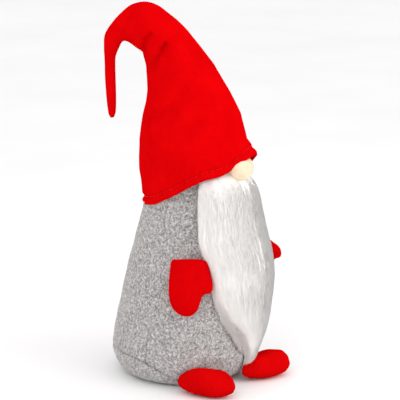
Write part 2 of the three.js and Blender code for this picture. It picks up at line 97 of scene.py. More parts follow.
# ------------------------------------------------------------------ small tools


def rgb(hex_colour):
    """sRGB hex to the linear colour that the shader nodes take."""
    parts = np.array([int(hex_colour[i:i + 2], 16) / 255 for i in (1, 3, 5)])
    linear = np.where(parts <= 0.04045, parts / 12.92, ((parts + 0.055) / 1.055) ** 2.4)
    return (*linear.tolist(), 1.0)


def smooth(x, low, high):
    """0 below low, 1 above high, and an S curve between."""
    t = np.clip((x - low) / (high - low), 0, 1)
    return t * t * (3 - 2 * t)


def bell(x, width):
    """Gauss bell: 1 at zero, and 1/e at the width."""
    return np.exp(-(x / width) ** 2)


def from_front(heading):
    """The same heading between -180 and 180 degrees."""
    return (heading + 180) % 360 - 180


def lumps(points, wavelength, seed, waves=9):
    """Soft unevenness, about -1 to 1: a sum of plane waves in random directions."""
    rng = np.random.default_rng(seed)
    direction = rng.normal(size=(waves, 3))
    direction /= np.linalg.norm(direction, axis=1, keepdims=True)
    direction *= (2 * np.pi / wavelength) * rng.uniform(0.7, 1.5, (waves, 1))
    phase = rng.uniform(0, 2 * np.pi, waves)
    return np.sin(points @ direction.T + phase).sum(-1) / math.sqrt(waves) / 1.4


def through(stations, per_gap):
    """Catmull-Rom curve through rows of numbers, each gap cut into the same count of steps."""
    s = np.asarray(stations, float)
    s = np.vstack([2 * s[0] - s[1], s, 2 * s[-1] - s[-2]])
    t = np.linspace(0, 1, per_gap, endpoint=False)[:, None, None]
    a, b, c, d = s[:-3], s[1:-2], s[2:-1], s[3:]
    rows = 0.5 * (2 * b + (c - a) * t + (2 * a - 5 * b + 4 * c - d) * t ** 2
                  + (3 * b - a - 3 * c + d) * t ** 3)
    return np.vstack([rows.transpose(1, 0, 2).reshape(-1, s.shape[1]), s[-2]])


def signed_volume(points, quads):
    """Volume inside the faces, negative when they point inwards."""
    a, b, c, d = (points[quads[:, i]] for i in range(4))
    total = np.einsum("ij,ij->i", a, np.cross(b, c)) + np.einsum("ij,ij->i", a, np.cross(c, d))
    return total.sum() / 6


def ring_quads(index):
    """Quads between each ring of point numbers and the next."""
    beside = np.roll(index, -1, axis=1)
    return np.stack([index[:-1], beside[:-1], beside[1:], index[1:]], -1).reshape(-1, 4)


def make_mesh(name, points, faces, material):
    """Object at the origin with smooth faces, its place in its mesh."""
    mesh = bpy.data.meshes.new(name)
    mesh.from_pydata(points.tolist(), [], faces)
    mesh.polygons.foreach_set("use_smooth", np.ones(len(faces), bool))
    mesh.materials.append(material)
    piece = bpy.data.objects.new(name, mesh)
    bpy.context.scene.collection.objects.link(piece)
    return piece


def skin(name, grid, material, ends="fan"):
    """Closed surface over a grid of rings. Each end is a fan of triangles round the ring's middle,
    or a strip of quads across a C-shaped ring, or the last ring is joined to the first."""
    rows, cols = grid.shape[:2]
    points = grid.reshape(-1, 3)
    index = np.arange(rows * cols).reshape(rows, cols)
    if ends == "joined":
        index = np.vstack([index, index[:1]])
    quads = ring_quads(index)
    turn = signed_volume(points, quads) < 0
    faces = (quads[:, ::-1] if turn else quads).tolist()
    for row, first in ((index[0], True), (index[-1], False)):
        if ends == "fan":
            pole = len(points)
            points = np.vstack([points, points[row].mean(axis=0)])
            fan = np.stack([row, np.roll(row, -1), np.full(cols, pole)], -1)
            faces += (fan if first == turn else fan[:, ::-1]).tolist()
        if ends == "strip":
            half = cols // 2
            back = row[::-1]
            strip = np.stack([row[:half - 1], row[1:half], back[1:half], back[:half - 1]], -1)
            faces += (strip if first == turn else strip[:, ::-1]).tolist()
    return make_mesh(name, points, faces, material)


def node(tree, kind, links=None, **settings):
    """Adds a shader node, its settings, and values or links for its sockets."""
    made = tree.nodes.new(kind)
    for name, value in settings.items():
        setattr(made, name, value)
    for name, value in (links or {}).items():
        if isinstance(value, bpy.types.NodeSocket):
            tree.links.new(value, made.inputs[name])
        else:
            made.inputs[name].default_value = value
    return made


# ------------------------------------------------------------------ materials


def new_material(name, roughness, sheen, tint="#FFFFFF", specular=0.2):
    """Empty fabric shader. Returns the material, its tree, its shader and object coordinates."""
    material = bpy.data.materials.new(name)
    material.use_nodes = True
    tree = material.node_tree
    shader = tree.nodes["Principled BSDF"]
    shader.inputs["Roughness"].default_value = roughness
    shader.inputs["Sheen Weight"].default_value = sheen
    shader.inputs["Sheen Roughness"].default_value = 0.45
    shader.inputs["Sheen Tint"].default_value = rgb(tint)
    shader.inputs["Specular IOR Level"].default_value = specular
    place = node(tree, "ShaderNodeTexCoord").outputs["Object"]
    return material, tree, shader, place


def speckle(tree, place, size, detail=4.0, stretch=(1, 1, 1), rough=0.6):
    """Noise whose blotches are about a size across, drawn out by a stretch in X, Y, Z."""
    scale = [1 / s for s in stretch]
    turned = node(tree, "ShaderNodeMapping", {"Vector": place, "Scale": scale})
    noise = node(tree, "ShaderNodeTexNoise", {
        "Vector": turned.outputs["Vector"], "Scale": 1 / size, "Detail": detail,
        "Roughness": rough})
    return noise.outputs["Fac"]


def shades(tree, fac, stops):
    """Colour ramp from (position, hex) stops."""
    ramp = node(tree, "ShaderNodeValToRGB", {"Fac": fac})
    while len(ramp.color_ramp.elements) < len(stops):
        ramp.color_ramp.elements.new(0.5)
    for element, (position, colour) in zip(ramp.color_ramp.elements, stops):
        element.position = position
        element.color = rgb(colour)
    return ramp.outputs["Color"]


def relief(tree, shader, layers):
    """Stacks bumps on a shader: each layer is a height, a depth in metres and a strength."""
    normal = None
    for height, depth, strength in layers:
        links = {"Height": height, "Distance": depth, "Strength": strength}
        if normal is not None:
            links["Normal"] = normal
        normal = node(tree, "ShaderNodeBump", links).outputs["Normal"]
    tree.links.new(normal, shader.inputs["Normal"])


def wool_felt():
    """Pressed wool felt of black and white fibres: heathered grey, quite matt, faintly hairy."""
    material, tree, shader, place = new_material("heathered wool felt", 0.95, 0.25)
    blotch = speckle(tree, place, 3.5 * MM, 3.0)
    tuft = speckle(tree, place, 0.75 * MM, 5.0, rough=0.8)
    mixed = node(tree, "ShaderNodeMix", {"Factor": 0.8, "A": blotch, "B": tuft})
    stops = [(0.42, "#2C2A29"), (0.476, "#827E7C"), (0.524, "#B2AEAC"), (0.58, "#F8F6F5")]
    colour = shades(tree, mixed.outputs["Result"], stops)
    tree.links.new(colour, shader.inputs["Base Color"])
    hair = speckle(tree, place, 0.9 * MM, 4.0, rough=0.8)
    relief(tree, shader, [(tuft, 1.0 * MM, 0.3), (hair, 0.6 * MM, 0.4)])
    return material


def red_velvet(name, deep, bright):
    """Cotton velvet or brushed cloth: short upright pile, so the colour is deep and the nap
    leans this way and that in patches a few centimetres across."""
    material, tree, shader, place = new_material(name, 0.9, 0.12, "#FF1008", 0.0)
    nap = speckle(tree, place, 26 * MM, 3.0)
    pile = speckle(tree, place, 1.3 * MM, 4.0, rough=0.7)
    mixed = node(tree, "ShaderNodeMix", {"Factor": 0.45, "A": nap, "B": pile})
    colour = shades(tree, mixed.outputs["Result"], [(0.3, deep), (0.7, bright)])
    tree.links.new(colour, shader.inputs["Base Color"])
    relief(tree, shader, [(pile, 0.7 * MM, 0.3), (nap, 2.5 * MM, 0.15)])
    return material


def fur_pile(name, shadow, light):
    """Acrylic long-pile fur: off-white hairs lying down the cloth, silky along their length."""
    material, tree, shader, place = new_material(name, 0.8, 0.1, specular=0.1)
    streak = speckle(tree, place, 2.2 * MM, 5.0, (1, 1, 16), 0.7)
    colour = shades(tree, streak, [(0.3, shadow), (0.6, light)])
    tree.links.new(colour, shader.inputs["Base Color"])
    relief(tree, shader, [(streak, 0.8 * MM, 0.1)])
    return material


def nose_jersey():
    """Stretch cotton jersey over a stuffed ball: skin coloured, with a fine knitted rib."""
    material, tree, shader, place = new_material("cotton jersey", 0.8, 0.2)
    rib = node(tree, "ShaderNodeTexWave", {"Vector": place, "Scale": 0.16 / MM,
                                           "Distortion": 1.2, "Detail": 2.0})
    cloud = speckle(tree, place, 9 * MM, 3.0)
    colour = shades(tree, cloud, [(0.3, "#E6D3B4"), (0.7, "#F2E2C6")])
    tree.links.new(colour, shader.inputs["Base Color"])
    relief(tree, shader, [(rib.outputs["Fac"], 0.25 * MM, 0.4), (cloud, 1.5 * MM, 0.2)])
    return material


def plain_finish(name, dark, light, size, roughness):
    """Fine grain in two near tones: sewing thread, and the fills, seen only if a seam opens."""
    material, tree, shader, place = new_material(name, roughness, 0.1)
    grain = speckle(tree, place, size)
    tree.links.new(shades(tree, grain, [(0.35, dark), (0.65, light)]), shader.inputs["Base Color"])
    relief(tree, shader, [(grain, size / 2, 0.5)])
    return material


FELT_LOOK = wool_felt()
VELVET_LOOK = red_velvet("cotton velvet", "#C60106", "#DE0407")
MITTEN_LOOK = red_velvet("brushed cotton", "#BE0105", "#D40407")
FOOT_LOOK = red_velvet("brushed cotton sole cloth", "#BA0306", "#D80608")
THREAD_LOOK = plain_finish("polyester thread", "#C00106", "#DC0408", 0.5 * MM, 0.6)
FUR_LOOK = fur_pile("acrylic fur", "#FBF5F0", "#FFFBF7")
STRAND_LOOK = fur_pile("acrylic fur hairs", "#FCF8F4", "#FFFDFA")
JERSEY_LOOK = nose_jersey()
WADDING_LOOK = plain_finish("polyester wadding", "#DCDCDA", "#F4F4F2", 3 * MM, 1.0)
PELLET_LOOK = plain_finish("polyethylene pellets", "#C6C2B4", "#E4E0D4", 4 * MM, 0.5)

# ------------------------------------------------------------------ the felt body


def body_outline():
    """Radius against height: a quarter round up from the rest face, a slightly barrelled cone,
    a straight neck and a dome inside the hat."""
    turn = np.linspace(0, np.pi / 2, 40)
    low = np.stack([FLAT_RADIUS + (BELLY_RADIUS - FLAT_RADIUS) * np.sin(turn),
                    BELLY_HEIGHT * (1 - np.cos(turn))], -1)
    t = np.linspace(0, 1, 40)[1:]
    side = np.stack([BELLY_RADIUS + (NECK_RADIUS - BELLY_RADIUS) * t
                     + SIDE_BULGE * np.sin(np.pi * t),
                     BELLY_HEIGHT + (NECK_HEIGHT - BELLY_HEIGHT) * t], -1)
    dome = np.stack([SHOULDER_RADIUS * np.cos(turn),
                     SHOULDER_HEIGHT + (HEAD_TOP - SHOULDER_HEIGHT) * np.sin(turn)], -1)
    return np.vstack([low, side, dome])


OUTLINE = body_outline()


def body_radius(z):
    return np.interp(z, OUTLINE[:, 1], OUTLINE[:, 0])


def round_body(heading, z, radius):
    """Point at a heading in degrees from the front towards the figure's right hand."""
    a = np.radians(heading)
    return np.stack(np.broadcast_arrays(-radius * np.sin(a), -LEAN * z - radius * np.cos(a), z), -1)


def base_seam(heading):
    """Height of the seam round the base: near the floor in front, and high at the sides and back."""
    level = np.abs(from_front(heading))
    return SEAM_FRONT + (SEAM_BACK - SEAM_FRONT) * smooth(level, 50, 103)


def felt_dip(heading, z):
    """How far stitching pulls the felt in: along the base seam, and along both side seams up to
    the height where the stuffing smooths them out, with small puckers beside them."""
    above = np.abs(z - base_seam(heading))
    side = np.abs(np.abs(from_front(heading)) - 90)
    beside = np.radians(side) * body_radius(z)
    puckers = np.sin(np.radians(heading) * 60) + np.sin(np.radians(heading) * 37 + 1)
    dip = 2.4 * MM * bell(above, 1.7 * MM) + 0.35 * MM * puckers * np.exp(-above / (9 * MM))
    seam = 2.0 * MM * bell(beside, 1.5 * MM) * (1 - 0.8 * smooth(z, 0.045, 0.085))
    puckers = np.sin(z / (2.4 * MM)) + np.sin(z / (3.7 * MM))
    return dip + seam + 0.22 * MM * puckers * np.exp(-beside / (7 * MM))


def felt_surface(heading, z, inset=0.0):
    """Stuffed felt: the outline, soft lumps of wadding and the pull of the seams."""
    ideal = round_body(heading, z, body_radius(z))
    soft = smooth(z, 0.01, 0.05)
    uneven = 1.1 * MM * lumps(ideal, 0.11, 3) + 0.45 * MM * lumps(ideal, 0.035, 4)
    radius = body_radius(z) + soft * uneven - felt_dip(heading, z) - inset
    return round_body(heading, z, radius)


def felt_panel(name, first, last):
    """Half of the sack between the side seams, from the base seam to the crown of the head.
    Grid: heading across, height upwards, outside then inside in one C-shaped ring."""
    share = np.linspace(0, 1, 150)[:, None] ** 1.15
    heading = np.linspace(first, last, 190)[None, :]
    z = base_seam(heading) * (1 - share) + FELT_TOP * share
    outside = felt_surface(heading + 0 * share, z)
    inside = felt_surface(heading + 0 * share, z, FELT)[:, ::-1]
    return skin(name, np.concatenate([outside, inside], axis=1), FELT_LOOK, "strip")


def felt_base():
    """Round panel under the body: from the base seam down and in to the middle of the rest face,
    and back up its inside."""
    heading = np.linspace(-180, 180, 360, endpoint=False)[None, :]
    share = np.linspace(1, 0, 26)[:, None] ** 1.6
    wall = felt_surface(heading + 0 * share, base_seam(heading) * share)
    across = np.linspace(0.97, 0.02, 14)[:, None]
    floor = round_body(heading, 0 * across, FLAT_RADIUS * across)
    outside = np.concatenate([wall, floor])
    inward = outside * [1, 1, 0] * (1 - FELT / BELLY_RADIUS)
    lift = np.concatenate([wall[..., 2:] * 0, 0 * floor[..., 2:] + FELT])
    lift[:len(wall)] = FELT * smooth(1 - share, 0.4, 1)[..., None]
    inside = inward + outside * [0, 0, 1] + lift * [0, 0, 1]
    grid = np.concatenate([inside[::-1], outside])
    return skin("felt_base", grid, FELT_LOOK)


front_felt = felt_panel("felt_front", -90, 90)
back_felt = felt_panel("felt_back", 90, 270)
base_felt = felt_base()
for piece, stood_for in ((front_felt, "body_front_panel"), (back_felt, "body_back_panel"),
                         (base_felt, "base_panel")):
    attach(piece, "trunk")
    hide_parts(stood_for)

# ------------------------------------------------------------------ the hat
# The hat falls in one upright plane. OUT is the level way it falls, and FACE stands square to it.
OUT = np.cross([0, 0, 1], joint_axis("hat_bend"))
if OUT[1] < 0:
    OUT = -OUT
FACE = np.cross([0, 0, 1], OUT)
HEM_LEVEL = 261 * MM  # where the middle of the leaning body is the middle of the hat
HAT_FOOT = np.array([0, -LEAN * HEM_LEVEL, 0])
FALL = math.degrees(math.atan2(-OUT[0], -OUT[1]))  # heading of OUT
HEM_STITCH = 11 * MM  # from the hem's edge up to its stitching
NOSE_ARCH, NOSE_FLARE = 22 * MM, 17.5 * MM  # how far the nose lifts the hem, up and out
NOSE_SPREAD = 15  # degrees to each side over which it does
AROUND = 300  # points in each ring of the hat

# Level sections of the standing part: height, how far its middle is out, and radius.
STANDING = np.array([
    [225, 1, 63], [240, 1, 63.5], [257, 0.8, 66.5], [281, 0.2, 70.3], [297, -1, 72.4],
    [306, -2.2, 73.4], [322, -0.7, 71.6], [338, 0, 68.6], [355, 0.4, 64.8], [371, 2.2, 59.1],
    [387, 5.9, 53.4], [403, 10.8, 48.9], [420, 16.1, 44.9], [436, 24, 41], [452, 36, 40],
]) * MM

# Height of the hem's edge against heading, the same on both sides.
HEM = np.array([[0, 286], [12, 285], [42, 279.5], [60, 270], [83, 255], [103, 244], [114, 240],
                [148, 233], [180, 231]], float)

# Sections of the fallen part as chords across it: inner point out and up, outer point out and up,
# and radius towards FACE.
FALLEN = np.array([
    [64.3, 436, -3.7, 452.4, 40.5], [69.3, 440.4, 10.6, 469.6, 37], [74.2, 444, 29, 485.5, 33.5],
    [79.1, 448.3, 45.8, 498, 30.5], [83.2, 451.2, 61, 503, 27.5], [87.2, 452.4, 79, 499.7, 22],
    [90, 452, 92.2, 489.6, 17], [92.8, 449.2, 103.9, 476.5, 13],
    [95.9, 442.6, 113.7, 460.6, 10.4], [99.2, 434.3, 115.4, 444, 8.4], [100.6, 426, 114.9, 426, 7.3],
    [100.6, 400.8, 114.4, 400.8, 6.9], [100.4, 373.6, 112.6, 373.6, 6.5],
    [101.2, 357.5, 110.6, 356, 5.2], [103.5, 350.5, 108, 350, 2.4],
]) * MM


def hem_height(heading):
    """Edge of the hem, with the arch that it makes over the nose."""
    level = from_front(heading)
    edge = through(HEM, 12)
    arch = NOSE_ARCH * bell(level + 4, NOSE_SPREAD)
    return np.interp(np.abs(level), edge[:, 0], edge[:, 1]) * MM + arch


def plane_point(out, up, face=0.0):
    """Point from its distances out, up and towards FACE."""
    return (HAT_FOOT + np.multiply.outer(out, OUT) + np.multiply.outer(up, [0, 0, 1.0])
            + np.multiply.outer(face, FACE))


def groove(out, up, path, width):
    """Bell of a width round a crease: a path of (out, up) points in millimetres."""
    path = np.array(path) * MM
    nearest = np.full(np.shape(out), np.inf)
    for (x0, y0), (x1, y1) in zip(path[:-1], path[1:]):
        dx, dy = x1 - x0, y1 - y0
        t = np.clip(((out - x0) * dx + (up - y0) * dy) / (dx * dx + dy * dy), 0, 1)
        nearest = np.minimum(nearest, np.hypot(out - x0 - t * dx, up - y0 - t * dy))
    return bell(nearest, width)


CREASES = [  # side it shows on, path, width, depth
    (1, [(52, 418), (46, 436), (34, 452)], 3.4 * MM, 7.2 * MM),
    (1, [(66, 437), (62, 455), (54, 464)], 3.2 * MM, 6.8 * MM),
    (1, [(12, 470), (2, 448), (-4, 440)], 5.0 * MM, 5.7 * MM),
    (1, [(50, 362), (38, 366), (22, 365)], 5.0 * MM, 3.4 * MM),
    (1, [(40, 445), (24, 455), (16, 462)], 5.0 * MM, 4.2 * MM),
    (1, [(90, 462), (84, 476), (80, 490)], 3.0 * MM, 4.2 * MM),
    (1, [(56, 300), (54, 278), (48, 262)], 5.0 * MM, 3.0 * MM),
    (1, [(38, 310), (40, 290), (36, 272)], 6.0 * MM, 2.7 * MM),
    (-1, [(58, 424), (44, 432), (30, 450)], 3.6 * MM, 6.8 * MM),
    (-1, [(70, 446), (58, 462), (50, 480)], 3.2 * MM, 6.1 * MM),
    (-1, [(30, 400), (12, 412), (-6, 410)], 6.0 * MM, 3.8 * MM),
]


def hat_folds(points, face):
    """Creases pressed into one side or the other, and the uneven filling under the velvet."""
    flat = points - HAT_FOOT
    out, up = flat @ OUT, flat[..., 2]
    dip = sum(depth * groove(out, up, path, width) * smooth(side * face, -0.1, 0.5)
              for side, path, width, depth in CREASES)
    return 1.0 * MM * lumps(points, 0.085, 11) + 0.4 * MM * lumps(points, 0.03, 12) - dip


def standing_hat(heading, above):
    """Point of the standing hat so far above the hem's edge. Level sections round a leaning
    middle line; the edge is turned under, stitched down in a groove, and lifted by the nose."""
    z = hem_height(heading) + above
    middle = np.interp(z, STANDING[:, 0], STANDING[:, 1])
    radius = np.interp(z, STANDING[:, 0], STANDING[:, 2])
    level = from_front(heading)
    radius = radius - 2.6 * MM * bell(above - HEM_STITCH, 2.6 * MM) - 1.2 * MM * smooth(
        -above, -4 * MM, 0.0)
    radius = radius + 1.2 * MM * bell(above - 5 * MM, 4 * MM)
    a = np.radians(heading)
    wave = np.sin(5 * a + 0.4) + 0.7 * np.sin(9 * a + 2) + 0.5 * np.sin(14 * a + 1)
    radius = radius + 0.9 * MM * wave * (1 - smooth(above, 0, 0.075))
    pucker = np.sin(41 * a) + np.sin(67 * a + 2)
    radius = radius + 0.5 * MM * pucker * bell(above - HEM_STITCH, 8 * MM)
    over_nose = bell(level + 6, NOSE_SPREAD) * (1 - smooth(above, 2 * MM, 40 * MM))
    radius = radius + NOSE_FLARE * over_nose
    radius = np.maximum(radius, body_radius(z) + 1.4 * MM)
    towards_out = np.cos(np.radians(heading - FALL))
    towards_face = np.sin(np.radians(FALL - heading))
    ring = plane_point(middle + radius * towards_out, z, radius * towards_face)
    push = hat_folds(ring, towards_face) * smooth(above, 8 * MM, 40 * MM)
    return plane_point(middle + (radius + push) * towards_out, z, (radius + push) * towards_face)


def hat_lower_grid():
    """Rings from inside the hem, round its fold and up to the first chord of the fallen part."""
    heading = np.linspace(0, 360, AROUND, endpoint=False)[None, :]
    towards_out = np.cos(np.radians(heading - FALL))
    inner_up, outer_up = FALLEN[0, 1], FALLEN[0, 3]
    top = (inner_up + outer_up) / 2 + (inner_up - outer_up) / 2 * towards_out - hem_height(heading)
    share = np.linspace(0, 1, 120)[:, None] ** 1.3
    outside = standing_hat(heading + 0 * share, top * share)
    depth = np.array([26.0, 14.0, 5.0, 1.2])[:, None] * MM
    inside = standing_hat(heading + 0 * depth, depth)
    middle = np.array([0, 0, 1.0]) * inside[..., 2:] + HAT_FOOT
    inward = np.array([4.2, 4.0, 3.4, 1.9])[:, None, None] * MM
    radial = (inside - middle) * [1, 1, 0]
    inside = inside - inward * radial / np.linalg.norm(radial, axis=-1, keepdims=True)
    return np.concatenate([inside, outside])


def fallen_rings(first, last, shrink=0.0):
    """Rings from one row to another of the finely divided chords: cosine along the chord, sine
    towards FACE, each drawn in by its share of shrink."""
    rows = through(FALLEN, PER_GAP)[first:last]
    a = np.radians(np.linspace(0, 360, AROUND, endpoint=False)[None, :] - FALL)
    mid_out, mid_up = (rows[:, 0] + rows[:, 2]) / 2, (rows[:, 1] + rows[:, 3]) / 2
    half_out, half_up = (rows[:, 0] - rows[:, 2]) / 2, (rows[:, 1] - rows[:, 3]) / 2
    out = mid_out[:, None] + half_out[:, None] * np.cos(a)
    up = mid_up[:, None] + half_up[:, None] * np.cos(a)
    ring = plane_point(out, up, -rows[:, 4:5] * np.sin(a))
    middle = plane_point(mid_out, mid_up)[:, None, :]
    radial = ring - middle
    size = np.linalg.norm(radial, axis=-1, keepdims=True)
    push = hat_folds(ring, -np.sin(a) + 0 * out)[..., None] * np.clip(size / (30 * MM), 0.12, 1)
    push = push - np.reshape(shrink, (-1, 1, 1))
    return ring + push * radial / size


PER_GAP = 7  # rings between one chord and the next
SPLIT = 4 * PER_GAP  # the ring at which the lower hat ends and the point of the hat begins
TUCK = np.array([0.05, 0.25, 0.7, 1.4]) * MM  # each part runs on a little way inside the other
lower_rings = np.concatenate([hat_lower_grid(), fallen_rings(1, SPLIT + 1),
                              fallen_rings(SPLIT + 1, SPLIT + 1 + len(TUCK), TUCK)])
point_rings = np.concatenate([fallen_rings(SPLIT - len(TUCK), SPLIT, TUCK[::-1]),
                              fallen_rings(SPLIT, None)])
hat_lower = skin("hat_lower_velvet", lower_rings, VELVET_LOOK)
hat_point = skin("hat_point_velvet", point_rings, VELVET_LOOK)

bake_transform(hat_lower)
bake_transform(hat_point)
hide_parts("hat_lower_cloth", "hat_hem_band", "hat_lower_fill")
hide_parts("hat_crown_cloth", "hat_crown_fill", "hat_tail")


def bead_row(name, centres, along, length, thick, material):
    """Row of small closed stitches: each is a spindle of three-sided rings along its own way."""
    up = np.cross(along, [0.31, 0.17, 0.94])
    up /= np.linalg.norm(up, axis=-1, keepdims=True)
    side = np.cross(along, up)
    t = np.array([-0.5, -0.3, 0.3, 0.5])
    swell = np.array([0.35, 1.0, 1.0, 0.35]) * thick / 2
    a = np.linspace(0, 2 * np.pi, 6, endpoint=False)
    ring = (np.cos(a)[:, None, None, None] * up[None, None] + np.sin(a)[:, None, None, None]
            * side[None, None]) * swell[None, :, None, None]
    points = centres + along * length * t[None, :, None, None] + ring
    points = points.transpose(2, 1, 0, 3)  # stitch, ring, corner
    count, rings, sides = points.shape[:3]
    index = np.arange(rings * sides).reshape(rings, sides)
    quads = ring_quads(index)
    start = np.arange(count)[:, None, None] * rings * sides
    if signed_volume(points[0].reshape(-1, 3), quads) < 0:
        quads, caps = quads[:, ::-1], (index[0], index[-1][::-1])
    else:
        caps = (index[0][::-1], index[-1])
    faces = (start + quads).reshape(-1, 4).tolist()
    for cap in caps:
        faces += (start[:, 0] + cap).tolist()
    return make_mesh(name, points.reshape(-1, 3), faces, material)


def hem_stitches():
    """Topstitching that holds the hem: stitches end to end in its groove."""
    fine = np.linspace(0, 360, 2400)
    track = standing_hat(fine, 0 * fine + HEM_STITCH)
    run = np.concatenate([[0], np.cumsum(np.linalg.norm(np.diff(track, axis=0), axis=1))])
    pitch = 3.4 * MM
    at = np.interp(np.arange(0, run[-1] - pitch, pitch), run, fine)
    here = standing_hat(at, 0 * at + HEM_STITCH)
    ahead = standing_hat(at + 0.6, 0 * at + HEM_STITCH)
    along = (ahead - here) / np.linalg.norm(ahead - here, axis=1, keepdims=True)
    return bead_row("hem_stitches", here, along, 2.7 * MM, 0.75 * MM, THREAD_LOOK)


stitching = hem_stitches()
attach(stitching, "trunk")

# ------------------------------------------------------------------ the nose
NOSE_TRIM = 1.2 * MM  # how much smaller its radius is than the solid's
NOSE_SHIFT = np.array([0, -2.5, -0.5]) * MM


def ball_nose():
    """Jersey ball: a sphere a little flat in front, drawn in to a gathered mouth behind, with
    soft folds that fade away from the mouth. Rows go from the mouth to the front."""
    low, high = node_box("nose_skin")
    radius = (high[0] - low[0]) / 2 - NOSE_TRIM
    middle = (low + high) / 2 + NOSE_SHIFT
    polar = np.linspace(0.06, np.pi - 0.02, 60)[:, None]
    a = np.linspace(0, 2 * np.pi, 96, endpoint=False)[None, :]
    gathers = 0.7 * MM * np.sin(15 * a + np.sin(3 * a)) * np.exp(-polar / 0.5)
    reach = radius + gathers
    ring = np.stack([reach * np.sin(polar) * np.cos(a),
                     reach * np.cos(polar) * 0.97 + 0 * a,
                     reach * np.sin(polar) * np.sin(a) * 0.97], -1)
    return skin("nose_ball", middle + ring * (1 + 0.014 * lumps(ring, 0.03, 21)[..., None]),
                JERSEY_LOOK)


nose = ball_nose()
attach(nose, "trunk")
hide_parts("nose_skin", "nose_fill")

# ------------------------------------------------------------------ the beard
BEARD_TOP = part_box("beard_root_fur")[1][2] + 14 * MM
BEARD_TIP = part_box("beard_fur")[0][2]
# Height, half the angle that the beard spans, and how thick its fur is.
BEARD = np.array([[38, 4, 8], [50, 7, 16], [71, 13, 24], [89, 22, 27], [105, 28, 29], [120, 33, 32],
                  [140, 37, 35.5], [160, 40, 37], [176, 44, 36.5], [200, 49, 34], [230, 50, 33.5],
                  [260, 50, 33], [300, 50, 30]], float)
FUR_EDGE = 4  # how thick the fur is at its edges, in millimetres
FUR_LEAST = 3 * MM
HAIR_THICK = 0.45 * MM


def beard_half_angle(z):
    return np.interp(z / MM, BEARD[:, 0], BEARD[:, 1])


def beard_depth(heading, z):
    """How far the fur stands off the felt: full over the middle and rounded off at the edges, and
    kept smoothly within the room that there is under the hem."""
    share = np.abs(heading) / beard_half_angle(z)
    across = np.clip(1 - share ** 4, 0, 1) ** 0.55
    depth = (FUR_EDGE + (np.interp(z / MM, BEARD[:, 0], BEARD[:, 2]) - FUR_EDGE) * across) * MM
    room = np.maximum(14 * MM + 1.2 * (hem_height(15 + np.abs(heading)) - z), 6 * MM)
    return np.maximum((depth ** -4 + room ** -4) ** -0.25, FUR_LEAST)


def fur_facing(heading, z):
    """Way out of the fur's face: square to its slopes across and up."""
    edge = 0.96 * beard_half_angle(z)
    heading = np.clip(heading, -edge, edge)
    z = np.clip(z, BEARD_TIP + 2 * MM, None)

    def face(h, at):
        return round_body(h, at, body_radius(at) + beard_depth(h, at))

    across = face(heading + 0.5, z) - face(heading - 0.5, z)
    upward = face(heading, z + MM) - face(heading, z - MM)
    out = np.cross(upward, across)
    return out / np.linalg.norm(out, axis=-1, keepdims=True)


def beard_pile():
    """Mass of the fur: its outer face with soft locks running down it, and its back on the felt.
    Grid: heading across, height upwards, outside then back in one C-shaped ring."""
    z = np.linspace(BEARD_TIP + 3 * MM, BEARD_TOP, 170)[:, None]
    share = np.linspace(-1, 1, 150)[None, :]
    heading = share * beard_half_angle(z) * 0.97
    shape = round_body(heading, z, body_radius(z))
    locks = 0.45 * MM * lumps(shape * [1, 1, 0.08], 0.025, 31) + 0.12 * MM * lumps(
        shape * [1, 1, 0.06], 0.007, 32)
    depth = beard_depth(heading, z) - 1.0 * MM + locks
    outside = round_body(heading, z, body_radius(z) + np.maximum(depth, 1.6 * MM))
    back = round_body(heading, z, body_radius(z) + 0.6 * MM)[:, ::-1]
    return skin("beard_pile", np.concatenate([outside, back], axis=1), FUR_LOOK, "strip")


def hair_tracks(rng, count, low, high, spread, length, follow):
    """Middle lines of hairs: each starts in the fur and lies down its face. It follows the fur's
    narrowing edge closely or hangs straight, and its tip drifts and lifts off a little."""
    z0 = rng.uniform(low, high, count)
    share = rng.uniform(-1, 1, count)
    share = np.sign(share) * np.abs(share) ** spread
    t = np.linspace(0, 1, 6)[None, :]
    fall = length * rng.uniform(0.7, 1.15, count)[:, None]
    z = z0[:, None] - fall * t
    drift = rng.normal(0, 0.8, count)[:, None] * t ** 1.5
    wide = follow * beard_half_angle(z) + (1 - follow) * beard_half_angle(z0)[:, None]
    heading = share[:, None] * wide + drift
    root = beard_depth(heading[:, 0], z0)[:, None] - 4 * MM
    inside = np.abs(heading) < beard_half_angle(np.maximum(z, BEARD_TIP))
    face = np.where(inside, beard_depth(heading, np.maximum(z, BEARD_TIP)), FUR_LEAST)
    face = np.maximum(face, root * (1 - 0.55 * t))
    lift = rng.uniform(-1.0, 0.3, count)[:, None] * MM
    depth = root * (1 - smooth(t, 0, 0.5)) + (face + lift) * smooth(t, 0, 0.5)
    tracks = round_body(heading, z, body_radius(z) + np.maximum(depth, 1.2 * MM))
    return tracks, fur_facing(heading, z)


